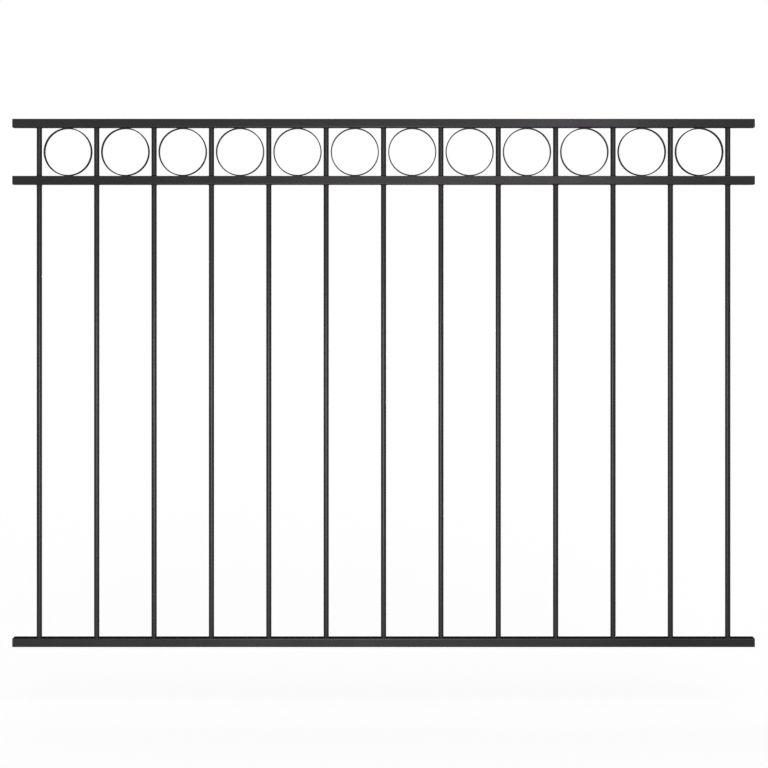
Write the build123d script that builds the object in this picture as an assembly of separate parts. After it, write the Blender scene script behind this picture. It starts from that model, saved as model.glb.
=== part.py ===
from build123d import *
import os

# Steel fence panel: three square-tube rails, round-tube bars and a frieze of rings.
#
# Every bar is one length of tube. It stands on the bottom rail, passes through holes punched in
# the middle rail and ends under the top rail. A ring rolled from flat strip fills each bay between
# the top and middle rails, a weld's gap short of both. Plastic plugs close the rails' ends, which
# run on past the outermost bars so that a post bracket can hold them.
#
# The frame, in millimetres: the origin is the centre of the bottom rail's left end, +X runs
# along the panel, -Y is its front and +Z is up.

# Rings, rolled from flat strip
RING_DIAMETER = 110.4  # outside
RING_STRIP_WIDTH = 10.0  # from front to back
RING_STRIP_THICKNESS = 2.5
RING_SEAT_GAP = 0.1  # between a ring and the rail above or below it
RING_SIDE_GAP = 4.65  # between a ring and the bar beside it

# Bars, cut from round tube
BAR_COUNT = 13
BAR_DIAMETER = 12.0
BAR_WALL = 1.0
HOLE_CLEARANCE = 0.2  # all round a bar, in the holes punched for it

# Rails, cut from square tube
RAIL_SIZE = 20.0
RAIL_WALL = 1.2
RAIL_INNER_RADIUS = 0.8  # of the tube's corners
RAIL_OVERHANG = 59.8  # from the outermost bar's axis to the panel's end
BAY_HEIGHT = 1039.0  # clear height between the bottom and middle rails

# End plugs, pressed into the rails
PLUG_HEAD = 2.0  # thickness of the square head
PLUG_HEAD_CHAMFER = 0.8  # round the head's outer face
PLUG_DEPTH = 12.0  # of the sleeve inside the rail
PLUG_WALL = 1.5
PLUG_CLEARANCE = 0.1  # all round the sleeve
PLUG_LEAD_IN = 0.6  # chamfer at the sleeve's inner end

# What follows from those sizes
bar_pitch = RING_DIAMETER + 2 * RING_SIDE_GAP + BAR_DIAMETER
bar_places = [RAIL_OVERHANG + n * bar_pitch for n in range(BAR_COUNT)]
ring_places = [x + bar_pitch / 2 for x in bar_places[:-1]]
panel_length = 2 * RAIL_OVERHANG + (BAR_COUNT - 1) * bar_pitch

rail_bore = RAIL_SIZE - 2 * RAIL_WALL
rail_outer_radius = RAIL_INNER_RADIUS + RAIL_WALL
plug_corner_cut = rail_outer_radius * (2 - 2**0.5)  # a flat that touches the rail's round corner
frieze_height = RING_DIAMETER + 2 * RING_SEAT_GAP
rail_heights = {
    "bottom": 0.0,
    "middle": RAIL_SIZE + BAY_HEIGHT,
    "top": RAIL_SIZE + BAY_HEIGHT + RAIL_SIZE + frieze_height,
}
ring_height = (rail_heights["middle"] + rail_heights["top"]) / 2

bar_bottom = rail_heights["bottom"] + RAIL_SIZE / 2
bar_top = rail_heights["top"] - RAIL_SIZE / 2


def square_tube():
    """A rail's tube on the X axis, between the heads of its two end plugs."""
    outside = RectangleRounded(RAIL_SIZE, RAIL_SIZE, rail_outer_radius)
    inside = RectangleRounded(rail_bore, rail_bore, RAIL_INNER_RADIUS)
    section = Plane.YZ.offset(PLUG_HEAD) * (outside - inside)
    return extrude(section, panel_length - 2 * PLUG_HEAD)


def punched_tube():
    """A rail's tube with a hole for every bar, through its upper and lower walls."""
    hole = Cylinder(BAR_DIAMETER / 2 + HOLE_CLEARANCE, 2 * RAIL_SIZE)
    return square_tube() - [Pos(x, 0, 0) * hole for x in bar_places]


def bar(x):
    """A length of round tube that stands at x, from the bottom rail up to the top rail."""
    section = Circle(BAR_DIAMETER / 2) - Circle(BAR_DIAMETER / 2 - BAR_WALL)
    return Pos(x, 0, bar_bottom) * extrude(section, bar_top - bar_bottom)


def ring(x):
    """A hoop of flat strip, standing on edge with its axis from front to back."""
    outside = RING_DIAMETER / 2
    section = Circle(outside) - Circle(outside - RING_STRIP_THICKNESS)
    hoop = extrude(Plane.XZ * section, RING_STRIP_WIDTH / 2, both=True)
    return Pos(x, 0, ring_height) * hoop


def end_plug():
    """A rail's left end plug: a square head at the origin and a hollow sleeve along +X."""
    head = extrude(Plane.YZ * Rectangle(RAIL_SIZE, RAIL_SIZE), PLUG_HEAD)
    head = chamfer(head.edges().filter_by(Axis.X), plug_corner_cut)
    head = chamfer(head.faces().sort_by(Axis.X)[0].edges(), PLUG_HEAD_CHAMFER)
    sleeve_size = rail_bore - 2 * PLUG_CLEARANCE
    core_size = sleeve_size - 2 * PLUG_WALL
    seat = Plane.YZ.offset(PLUG_HEAD)
    sleeve = extrude(seat * Rectangle(sleeve_size, sleeve_size), PLUG_DEPTH)
    sleeve = chamfer(sleeve.edges().filter_by(Axis.X), RAIL_INNER_RADIUS)
    sleeve = chamfer(sleeve.faces().sort_by(Axis.X)[-1].edges(), PLUG_LEAD_IN)
    core = extrude(seat * Rectangle(core_size, core_size), PLUG_DEPTH)
    return head + (sleeve - core)


def panel():
    """Every piece of the panel, by name."""
    pieces = {
        "bottom_rail": Pos(0, 0, rail_heights["bottom"]) * square_tube(),
        "middle_rail": Pos(0, 0, rail_heights["middle"]) * punched_tube(),
        "top_rail": Pos(0, 0, rail_heights["top"]) * square_tube(),
        "ring_frieze": Compound([ring(x).solid() for x in ring_places]),
    }
    for number, x in enumerate(bar_places, start=1):
        pieces[f"bar_{number:02d}"] = bar(x)
    left_plug = end_plug()
    right_plug = Rot(0, 0, 180) * left_plug
    for level, z in rail_heights.items():
        pieces[f"{level}_left_plug"] = Pos(0, 0, z) * left_plug
        pieces[f"{level}_right_plug"] = Pos(panel_length, 0, z) * right_plug
    return pieces


os.makedirs("parts", exist_ok=True)
for name, piece in panel().items():
    piece.label = name
    export_step(piece, f"parts/{name}.step")
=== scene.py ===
"""Looks of the steel fence panel: powder coat, rolled rings, welds and end plugs, in a white studio.

Everything is in metres, in the panel's own frame: +X along the panel, -Y out of its front, +Z up.
"""
import math
import random

import bpy
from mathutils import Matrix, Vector


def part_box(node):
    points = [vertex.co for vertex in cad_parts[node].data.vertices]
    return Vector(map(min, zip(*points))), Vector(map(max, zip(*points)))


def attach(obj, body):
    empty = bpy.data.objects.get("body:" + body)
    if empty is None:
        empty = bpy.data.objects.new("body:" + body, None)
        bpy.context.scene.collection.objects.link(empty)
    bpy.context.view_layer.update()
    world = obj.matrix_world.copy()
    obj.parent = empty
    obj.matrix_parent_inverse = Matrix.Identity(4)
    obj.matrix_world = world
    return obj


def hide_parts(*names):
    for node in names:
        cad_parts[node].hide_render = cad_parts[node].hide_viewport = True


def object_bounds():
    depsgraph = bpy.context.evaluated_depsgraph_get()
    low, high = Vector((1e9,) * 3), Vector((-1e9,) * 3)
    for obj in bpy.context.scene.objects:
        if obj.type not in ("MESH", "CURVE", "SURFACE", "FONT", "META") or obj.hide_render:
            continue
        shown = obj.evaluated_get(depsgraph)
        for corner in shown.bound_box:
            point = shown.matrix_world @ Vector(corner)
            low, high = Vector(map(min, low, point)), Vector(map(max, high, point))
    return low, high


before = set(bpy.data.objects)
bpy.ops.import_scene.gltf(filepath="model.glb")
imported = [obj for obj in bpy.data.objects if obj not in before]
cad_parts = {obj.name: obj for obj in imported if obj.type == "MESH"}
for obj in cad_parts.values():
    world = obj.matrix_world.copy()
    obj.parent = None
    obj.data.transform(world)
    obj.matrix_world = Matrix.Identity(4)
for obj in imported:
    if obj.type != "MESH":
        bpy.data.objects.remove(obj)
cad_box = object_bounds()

MM = 0.001
WHITE = (1.0, 1.0, 1.0, 1.0)
BLACK = (0.0, 0.0, 0.0, 1.0)

# The photograph's frame, in its pixels
PHOTO_SIDE = 768
PANEL_LEFT = 12.1
PANEL_RIGHT = 755.0
PANEL_FOOT = 647.3
HORIZON = 270.0

# Camera, in millimetres
SENSOR = 36.0
LENS = 61.4

# Rolled strip
STRIP_THICKNESS = 2.5 * MM
STRIP_EDGE_RADIUS = 0.45 * MM
STRIP_EDGE_STEPS = 3
RING_STEPS = 160

# Welds
WELD_SEED = 7
WELD_SUNK = 0.15 * MM  # into the pieces that it joins
WELD_SWELL = 0.10  # share of the leg by which the bead's middle stands out
WELD_RIPPLE = 0.09  # share of the leg
WELD_PROFILE_STEPS = 4
BAR_WELD_LEG = 1.4 * MM
BAR_WELD_LEAN = (0.04, 0.12)  # share of the leg by which one side of a bead is fuller
BAR_WELD_RIPPLES = 17
BAR_WELD_STEPS = 54
RING_WELD_LEG = 1.2 * MM
RING_WELD_LENGTH = 9.0 * MM
RING_WELD_SHIFT = 1.0 * MM  # along the rail, either way
RING_WELD_TIP = 0.12  # share of the leg that is left at a bead's ends
RING_WELD_RIPPLES = 4
RING_WELD_STEPS = 14

# Heads of the end plugs
PLUG_HEAD = 2.0 * MM
PLUG_CORNER_RADIUS = 2.0 * MM
PLUG_EDGE_RADIUS = 0.8 * MM
PLUG_CORNER_STEPS = 8
PLUG_EDGE_STEPS = 5

# Noises of the materials: a scale of 100 has features of about 10 mm
NOISE_MIDDLE = (0.3, 0.7)  # the part of a noise's values that is used
NOISE_ROUGHNESS = 0.5

# Powder coat
COAT_DARK = (0.0285, 0.0270, 0.0285)
COAT_LIGHT = (0.0320, 0.0303, 0.0320)
COAT_CLOUD = {"scale": 7.0, "detail": 4.0}
COAT_ROUGHNESS = (0.23, 0.28)
COAT_SHEEN = {"scale": 38.0, "detail": 3.0}
COAT_PEEL = {"scale": 620.0, "detail": 2.0}
COAT_PEEL_DEPTH = 0.05 * MM
COAT_GRAIN = {"scale": 2600.0, "detail": 2.0}
COAT_GRAIN_DEPTH = 0.012 * MM
COAT_BUMP_STRENGTH = 0.10
COAT_METALLIC = 0.75

# Plug plastic
PLASTIC_DARK = (0.0150, 0.0150, 0.0154)
PLASTIC_LIGHT = (0.0190, 0.0190, 0.0194)
PLASTIC_CLOUD = {"scale": 90.0, "detail": 3.0}
PLASTIC_ROUGHNESS = (0.52, 0.62)
PLASTIC_SHEEN = {"scale": 300.0, "detail": 2.0}
PLASTIC_GRAIN = {"scale": 1900.0, "detail": 3.0, "roughness": 0.6}
PLASTIC_GRAIN_DEPTH = 0.04 * MM
PLASTIC_BUMP_STRENGTH = 0.5
PLASTIC_SPECULAR = 0.1

# Surround and floor
SURROUND_LIGHT = 0.40  # its strength as a light
SURROUND_SEEN = 1.0  # its strength where it is seen, which is white
FLOOR_GAP = 0.15  # below the panel
FLOOR_SIDE = 80.0
FLOOR_COLOUR = (0.85, 0.85, 0.85, 1.0)
FLOOR_GLOW = 1.34
FLOOR_GLOW_SHARE = 0.5  # where the floor is seen

# Suns, with angles in degrees: azimuth 0 is the panel's front, and 90 its right-hand end
SUN_SPREAD = 40.0
SUNS = {
    "key_sun": {"strength": 1.0, "elevation": 40.0, "azimuth": 18.0},
    "back_sun": {"strength": 0.9, "elevation": 35.0, "azimuth": 200.0},
}

# Soft boxes: where each stands, from the middle of the panel's length, its size and its face's radiance
OPEN_BEAM = 180.0  # of a soft box with no grid
POWER_FACTOR = 4.0  # an area lamp's power, over its area and its radiance
SOFT_BOXES = {
    "bar_softbox": {"place": (-0.12, -1.30, 0.283), "width": 0.80, "height": 0.87, "radiance": 4.9},
    "patch_softbox": {"place": (-0.65, -1.30, 0.52), "width": 0.35, "height": 0.22, "radiance": 8.0},
    "axis_softbox": {"place": (0.05, -3.00, 0.92), "width": 0.80, "height": 0.50, "radiance": 3.6},
    "right_softbox": {"place": (0.83, -2.90, 1.40), "width": 0.50, "height": 0.50, "radiance": 3.5},
    "frieze_grid": {
        "place": (0.0, -0.25, 1.148), "width": 2.20, "height": 0.06, "radiance": 3.6,
        "tilt": -5.0, "beam": 40.0,
    },
    "foot_strip": {"place": (-0.30, -0.45, -0.08), "width": 1.80, "height": 0.10, "radiance": 0.55},
    "back_softbox": {
        "place": (0.17, 1.30, 0.38), "width": 0.40, "height": 0.80, "radiance": 6.0,
        "azimuth": 180.0,
    },
}

# Sizes taken from the frame
LEVELS = ("bottom", "middle", "top")
OUTWARD = {"left": -1, "right": 1}
rail_boxes = {level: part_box(f"{level}_rail") for level in LEVELS}
bar_names = sorted(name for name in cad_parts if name.startswith("bar_"))
bar_boxes = [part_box(name) for name in bar_names]
bar_centres = [(low.x + high.x) / 2 for low, high in bar_boxes]
bar_radius = (bar_boxes[0][1].x - bar_boxes[0][0].x) / 2
ring_centres = [(a + b) / 2 for a, b in zip(bar_centres, bar_centres[1:])]
frieze_low, frieze_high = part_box("ring_frieze")
ring_radius = (frieze_high.x - frieze_low.x - (ring_centres[-1] - ring_centres[0])) / 2
ring_height = (frieze_low.z + frieze_high.z) / 2
strip_depth = frieze_high.y - frieze_low.y
panel_low, panel_high = cad_box
panel_centre = (panel_low + panel_high) / 2


def empty_tree(owner):
    """The node tree of a material or a world, emptied."""
    owner.use_nodes = True
    tree = owner.node_tree
    tree.nodes.clear()
    return tree


def show(tree, surface, output_kind="ShaderNodeOutputMaterial"):
    """Joins a surface to the output of its material or world."""
    output = tree.nodes.new(output_kind)
    tree.links.new(surface, output.inputs["Surface"])


def noise(tree, scale, detail, roughness=NOISE_ROUGHNESS):
    """A noise in the panel's own metres. Its features are about one over the scale."""
    place = tree.nodes.new("ShaderNodeTexCoord")
    texture = tree.nodes.new("ShaderNodeTexNoise")
    texture.inputs["Scale"].default_value = scale
    texture.inputs["Detail"].default_value = detail
    texture.inputs["Roughness"].default_value = roughness
    tree.links.new(place.outputs["Object"], texture.inputs["Vector"])
    return texture.outputs["Fac"]


def spread(tree, value, low, high):
    """The middle of a noise, stretched to run from low to high."""
    stretch = tree.nodes.new("ShaderNodeMapRange")
    stretch.inputs["From Min"].default_value = NOISE_MIDDLE[0]
    stretch.inputs["From Max"].default_value = NOISE_MIDDLE[1]
    stretch.inputs["To Min"].default_value = low
    stretch.inputs["To Max"].default_value = high
    tree.links.new(value, stretch.inputs["Value"])
    return stretch.outputs["Result"]


def blend_colours(tree, value, dark, light):
    """A colour that runs from dark to light with a value from 0 to 1."""
    mix = tree.nodes.new("ShaderNodeMix")
    mix.data_type = "RGBA"
    mix.inputs["A"].default_value = (*dark, 1.0)
    mix.inputs["B"].default_value = (*light, 1.0)
    tree.links.new(value, mix.inputs["Factor"])
    return mix.outputs["Result"]


def bump(tree, height, depth, strength, under=None):
    """A bump of that depth, in metres, laid over another one if there is one."""
    node = tree.nodes.new("ShaderNodeBump")
    node.inputs["Distance"].default_value = depth
    node.inputs["Strength"].default_value = strength
    tree.links.new(height, node.inputs["Height"])
    if under is not None:
        tree.links.new(under, node.inputs["Normal"])
    return node.outputs["Normal"]


def mix_shaders(tree, share, first, second):
    """The first shader, with that share of the second one."""
    mix = tree.nodes.new("ShaderNodeMixShader")
    tree.links.new(share, mix.inputs["Fac"])
    tree.links.new(first, mix.inputs[1])
    tree.links.new(second, mix.inputs[2])
    return mix.outputs["Shader"]


def seen_directly(tree):
    """1 for camera, glossy and transmission rays, and 0 for the rays that carry diffuse light."""
    path = tree.nodes.new("ShaderNodeLightPath")
    either = path.outputs["Is Camera Ray"]
    for name in ("Is Glossy Ray", "Is Transmission Ray"):
        larger = tree.nodes.new("ShaderNodeMath")
        larger.operation = "MAXIMUM"
        tree.links.new(either, larger.inputs[0])
        tree.links.new(path.outputs[name], larger.inputs[1])
        either = larger.outputs["Value"]
    return either


def powder_coat():
    """Satin charcoal-black powder coat: a fine orange peel, a faint cloudiness and an uneven sheen.

    It is mostly metallic and has no clear layer, so that round bars turn dark towards their sides.
    """
    material = bpy.data.materials.new("powder_coat_satin")
    tree = empty_tree(material)
    shader = tree.nodes.new("ShaderNodeBsdfPrincipled")
    cloud = spread(tree, noise(tree, **COAT_CLOUD), 0.0, 1.0)
    colour = blend_colours(tree, cloud, COAT_DARK, COAT_LIGHT)
    tree.links.new(colour, shader.inputs["Base Color"])
    sheen = spread(tree, noise(tree, **COAT_SHEEN), *COAT_ROUGHNESS)
    tree.links.new(sheen, shader.inputs["Roughness"])
    peel = bump(tree, noise(tree, **COAT_PEEL), COAT_PEEL_DEPTH, COAT_BUMP_STRENGTH)
    grain = bump(tree, noise(tree, **COAT_GRAIN), COAT_GRAIN_DEPTH, COAT_BUMP_STRENGTH, under=peel)
    tree.links.new(grain, shader.inputs["Normal"])
    shader.inputs["Metallic"].default_value = COAT_METALLIC
    shader.inputs["Specular IOR Level"].default_value = 0.0
    shader.inputs["Specular Tint"].default_value = BLACK
    show(tree, shader.outputs["BSDF"])
    return material


def plug_plastic():
    """Moulded black plastic with a spark-eroded grain."""
    material = bpy.data.materials.new("plug_plastic_matt")
    tree = empty_tree(material)
    shader = tree.nodes.new("ShaderNodeBsdfPrincipled")
    cloud = spread(tree, noise(tree, **PLASTIC_CLOUD), 0.0, 1.0)
    colour = blend_colours(tree, cloud, PLASTIC_DARK, PLASTIC_LIGHT)
    tree.links.new(colour, shader.inputs["Base Color"])
    sheen = spread(tree, noise(tree, **PLASTIC_SHEEN), *PLASTIC_ROUGHNESS)
    tree.links.new(sheen, shader.inputs["Roughness"])
    grain = bump(tree, noise(tree, **PLASTIC_GRAIN), PLASTIC_GRAIN_DEPTH, PLASTIC_BUMP_STRENGTH)
    tree.links.new(grain, shader.inputs["Normal"])
    shader.inputs["Specular IOR Level"].default_value = PLASTIC_SPECULAR
    show(tree, shader.outputs["BSDF"])
    return material


def white_floor():
    """Matt white that takes a soft shadow, with a glow of its own where it is seen."""
    material = bpy.data.materials.new("white_floor")
    tree = empty_tree(material)
    shader = tree.nodes.new("ShaderNodeBsdfPrincipled")
    shader.inputs["Base Color"].default_value = FLOOR_COLOUR
    shader.inputs["Roughness"].default_value = 1.0
    shader.inputs["Specular IOR Level"].default_value = 0.0
    glow = tree.nodes.new("ShaderNodeEmission")
    glow.inputs["Strength"].default_value = FLOOR_GLOW
    share = tree.nodes.new("ShaderNodeMath")
    share.operation = "MULTIPLY"
    share.inputs[1].default_value = FLOOR_GLOW_SHARE
    tree.links.new(seen_directly(tree), share.inputs[0])
    show(tree, mix_shaders(tree, share.outputs["Value"], shader.outputs["BSDF"], glow.outputs["Emission"]))
    return material


def add_piece(name, points, faces, material):
    """A new mesh that rides with the panel."""
    mesh = bpy.data.meshes.new(name)
    mesh.from_pydata(points, [], faces)
    mesh.validate()
    mesh.polygons.foreach_set("use_smooth", [True] * len(mesh.polygons))
    mesh.materials.append(material)
    piece = bpy.data.objects.new(name, mesh)
    bpy.context.scene.collection.objects.link(piece)
    even = piece.modifiers.new("even_shading", "WEIGHTED_NORMAL")
    even.keep_sharp = True
    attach(piece, "root")
    return piece


class Loft:
    """Points and faces of skins that are stretched over rows of points."""

    def __init__(self):
        self.points = []
        self.faces = []

    def skin(self, rows, closed=False, caps=False):
        """Joins each row, a closed loop of points, to the next one.

        A closed skin also joins the last row to the first, and caps shut the two ends of an open one.
        """
        first = len(self.points)
        size = len(rows[0])
        for row in rows:
            self.points.extend(tuple(point) for point in row)
        joints = len(rows) if closed else len(rows) - 1
        for i in range(joints):
            near = first + i * size
            far = first + (i + 1) % len(rows) * size
            for j in range(size):
                k = (j + 1) % size
                self.faces.append((near + j, near + k, far + k, far + j))
        if caps:
            last = first + (len(rows) - 1) * size
            self.faces.append(tuple(first + j for j in reversed(range(size))))
            self.faces.append(tuple(last + j for j in range(size)))


def rounded_rectangle(width, height, radius, steps):
    """A closed loop of points round a rectangle with round corners, centred on 0, 0."""
    loop = []
    for quarter, (sx, sy) in enumerate(((1, 1), (-1, 1), (-1, -1), (1, -1))):
        centre_x = sx * (width / 2 - radius)
        centre_y = sy * (height / 2 - radius)
        for step in range(steps + 1):
            angle = math.radians(90.0 * (quarter + step / steps))
            loop.append((centre_x + radius * math.cos(angle), centre_y + radius * math.sin(angle)))
    return loop


def dress_nodes(material):
    """The powder coat on the rails and bars, whose own shapes are shown."""
    shown = [f"{level}_rail" for level in LEVELS] + bar_names
    for name in shown:
        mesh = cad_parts[name].data
        mesh.materials.clear()
        mesh.materials.append(material)


def build_rings(material):
    """The rolled rings, with the strip's edges rounded."""
    section = rounded_rectangle(STRIP_THICKNESS, strip_depth, STRIP_EDGE_RADIUS, STRIP_EDGE_STEPS)
    middle_radius = ring_radius - STRIP_THICKNESS / 2
    loft = Loft()
    for x in ring_centres:
        rows = []
        for step in range(RING_STEPS):
            angle = 2 * math.pi * step / RING_STEPS
            across = math.cos(angle)
            upward = math.sin(angle)
            rows.append([
                (
                    x + (middle_radius + out) * across,
                    depth,
                    ring_height + (middle_radius + out) * upward,
                )
                for out, depth in section
            ])
        loft.skin(rows, closed=True)
    piece = add_piece("ring_frieze_strip", loft.points, loft.faces, material)
    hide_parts("ring_frieze")


def weld_section(leg):
    """A weld's section in its corner: a swollen line from toe to toe and a root sunk into both sides."""
    line = []
    for step in range(WELD_PROFILE_STEPS + 1):
        share = step / WELD_PROFILE_STEPS
        swell = WELD_SWELL * leg * math.sin(math.pi * share)
        line.append((leg * (1 - share) + swell, leg * share + swell))
    return [(leg, -WELD_SUNK), *line, (-WELD_SUNK, leg), (-WELD_SUNK, -WELD_SUNK)]


def bar_weld(loft, x, face, upward, luck):
    """A bead all round a bar where it meets a rail's face, above the face or below it."""
    phase = luck.uniform(0, 2 * math.pi)
    lean = luck.uniform(*BAR_WELD_LEAN)
    rows = []
    for step in range(BAR_WELD_STEPS):
        angle = 2 * math.pi * step / BAR_WELD_STEPS
        ripple = WELD_RIPPLE * math.sin(BAR_WELD_RIPPLES * angle + phase)
        leg = BAR_WELD_LEG * (1 + ripple + lean * math.sin(angle + 2 * phase))
        rows.append([
            (
                x + (bar_radius + out) * math.cos(angle),
                (bar_radius + out) * math.sin(angle),
                face + upward * along,
            )
            for out, along in weld_section(leg)
        ])
    if upward < 0:
        rows.reverse()
    loft.skin(rows, closed=True)


def ring_weld(loft, x, face, upward, side, luck):
    """A short bead along a rail's face, at the front or back edge of a ring that meets it."""
    edge = side * strip_depth / 2
    phase = luck.uniform(0, 2 * math.pi)
    shift = luck.uniform(-RING_WELD_SHIFT, RING_WELD_SHIFT)
    rows = []
    for step in range(RING_WELD_STEPS + 1):
        share = 2 * step / RING_WELD_STEPS - 1
        taper = max(RING_WELD_TIP, math.sqrt(max(0.0, 1 - share * share)))
        ripple = 1 + WELD_RIPPLE * math.sin(RING_WELD_RIPPLES * math.pi * share + phase)
        leg = RING_WELD_LEG * taper * ripple
        rows.append([
            (x + shift + share * RING_WELD_LENGTH / 2, edge + side * out, face + upward * along)
            for out, along in weld_section(leg)
        ])
    if upward * side > 0:
        rows.reverse()
    loft.skin(rows, caps=True)


def build_welds(material):
    """The beads on each rail: round the bars, and at the front and back of each ring."""
    luck = random.Random(WELD_SEED)
    # A rail's faces with welds: the height, 1 if it looks up or -1 if down, and whether rings meet it
    welded_faces = {
        "bottom": [(rail_boxes["bottom"][1].z, 1, False)],
        "middle": [(rail_boxes["middle"][0].z, -1, False), (rail_boxes["middle"][1].z, 1, True)],
        "top": [(rail_boxes["top"][0].z, -1, True)],
    }
    for level, faces in welded_faces.items():
        loft = Loft()
        for face, upward, has_rings in faces:
            for x in bar_centres:
                bar_weld(loft, x, face, upward, luck)
            if has_rings:
                for x in ring_centres:
                    for side in (-1, 1):
                        ring_weld(loft, x, face, upward, side, luck)
        add_piece(f"{level}_rail_welds", loft.points, loft.faces, material)


def plug_head(outer, outward, centre, size):
    """Rows of points over a plug's head, between its seat on the rail and its outer face."""
    insets = [(PLUG_HEAD, 0.0)]
    for step in range(PLUG_EDGE_STEPS + 1):
        angle = math.radians(90.0 * step / PLUG_EDGE_STEPS)
        insets.append((
            PLUG_EDGE_RADIUS * (1 - math.sin(angle)),
            PLUG_EDGE_RADIUS * (1 - math.cos(angle)),
        ))
    rows = []
    for depth, inset in insets:
        side = size - 2 * inset
        loop = rounded_rectangle(side, side, PLUG_CORNER_RADIUS - inset, PLUG_CORNER_STEPS)
        rows.append([(outer - outward * depth, y, centre + z) for y, z in loop])
    if outward < 0:
        rows.reverse()
    return rows


def build_plugs(material):
    """The heads of the end plugs, with a moulded round along the outer edge."""
    for level in LEVELS:
        for end, outward in OUTWARD.items():
            node = f"{level}_{end}_plug"
            low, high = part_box(node)
            outer = high.x if outward > 0 else low.x
            loft = Loft()
            loft.skin(plug_head(outer, outward, (low.z + high.z) / 2, high.z - low.z), caps=True)
            piece = add_piece(f"{node}_head", loft.points, loft.faces, material)
            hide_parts(node)


def add_camera():
    """A level camera in front of the panel, framed as in the photograph."""
    pixels_per_metre = (PANEL_RIGHT - PANEL_LEFT) / (panel_high.x - panel_low.x)
    focal_pixels = LENS / SENSOR * PHOTO_SIDE
    data = bpy.data.cameras.new("camera")
    data.sensor_width = SENSOR
    data.lens = LENS
    data.shift_y = (HORIZON - PHOTO_SIDE / 2) / PHOTO_SIDE
    camera = bpy.data.objects.new("camera", data)
    camera.location = (
        panel_centre.x + (PHOTO_SIDE / 2 - (PANEL_LEFT + PANEL_RIGHT) / 2) / pixels_per_metre,
        panel_low.y - focal_pixels / pixels_per_metre,
        panel_low.z + (PANEL_FOOT - HORIZON) / pixels_per_metre,
    )
    camera.rotation_euler = (math.radians(90.0), 0.0, 0.0)
    bpy.context.scene.collection.objects.link(camera)
    bpy.context.scene.camera = camera


def background(tree, strength):
    """A white surround of that strength."""
    node = tree.nodes.new("ShaderNodeBackground")
    node.inputs["Color"].default_value = WHITE
    node.inputs["Strength"].default_value = strength
    return node.outputs["Background"]


def add_world():
    """A white surround that lights the panel softly."""
    world = bpy.data.worlds.new("studio")
    tree = empty_tree(world)
    light = background(tree, SURROUND_LIGHT)
    seen = background(tree, SURROUND_SEEN)
    show(tree, mix_shaders(tree, seen_directly(tree), light, seen), "ShaderNodeOutputWorld")
    bpy.context.scene.world = world


def add_floor():
    """A white floor a little below the panel, which hangs clear of the ground."""
    half = FLOOR_SIDE / 2
    height = panel_low.z - FLOOR_GAP
    corners = [
        (panel_centre.x + sx * half, sy * half, height)
        for sx, sy in ((-1, -1), (1, -1), (1, 1), (-1, 1))
    ]
    mesh = bpy.data.meshes.new("floor")
    mesh.from_pydata(corners, [], [(0, 1, 2, 3)])
    mesh.materials.append(white_floor())
    floor = bpy.data.objects.new("floor", mesh)
    bpy.context.scene.collection.objects.link(floor)
    return floor


def add_sun(name, strength, elevation, azimuth):
    """Soft light from one direction."""
    data = bpy.data.lights.new(name, "SUN")
    data.energy = strength
    data.angle = math.radians(SUN_SPREAD)
    sun = bpy.data.objects.new(name, data)
    up = math.radians(elevation)
    round_panel = math.radians(azimuth)
    towards = Vector((
        math.cos(up) * math.sin(round_panel),
        -math.cos(up) * math.cos(round_panel),
        math.sin(up),
    ))
    sun.rotation_euler = towards.to_track_quat("Z", "Y").to_euler()
    bpy.context.scene.collection.objects.link(sun)


def all_but(piece):
    """A collection that keeps a lamp's light off that piece, as barn doors would."""
    receivers = bpy.data.collections.new(f"all_but_{piece.name}")
    receivers.objects.link(piece)
    receivers.collection_objects[0].light_linking.link_state = "EXCLUDE"
    return receivers


def add_softbox(
    name, receivers, place, width, height, radiance, tilt=0.0, beam=OPEN_BEAM, azimuth=0.0
):
    """A soft box that looks along +Y, tilted up and turned by so many degrees.

    The radiance is that of its face on its own axis. A grid narrows its light to the beam, which
    raises the radiance there, so the power comes down by as much.
    """
    data = bpy.data.lights.new(name, "AREA")
    data.shape = "RECTANGLE"
    data.size = width
    data.size_y = height
    data.spread = math.radians(beam)
    half = math.radians(beam) / 2
    gain = math.tan(half) / (math.tan(half) - half) if beam < OPEN_BEAM else 1.0
    data.energy = POWER_FACTOR * radiance * width * height / gain
    box = bpy.data.objects.new(name, data)
    box.location = Vector(place) + Vector((panel_centre.x, 0.0, 0.0))
    box.rotation_euler = (math.radians(90.0 + tilt), 0.0, math.radians(azimuth))
    box.visible_camera = False
    box.light_linking.receiver_collection = receivers
    bpy.context.scene.collection.objects.link(box)


def add_light(floor):
    """Suns for the plain level, and soft boxes for the sheen on bars and rails, kept off the floor."""
    for name, settings in SUNS.items():
        add_sun(name, **settings)
    receivers = all_but(floor)
    for name, settings in SOFT_BOXES.items():
        add_softbox(name, receivers, **settings)


coat = powder_coat()
dress_nodes(coat)
build_rings(coat)
build_welds(coat)
build_plugs(plug_plastic())
add_camera()
add_world()
add_light(add_floor())
bpy.context.scene.view_settings.view_transform = "Standard"
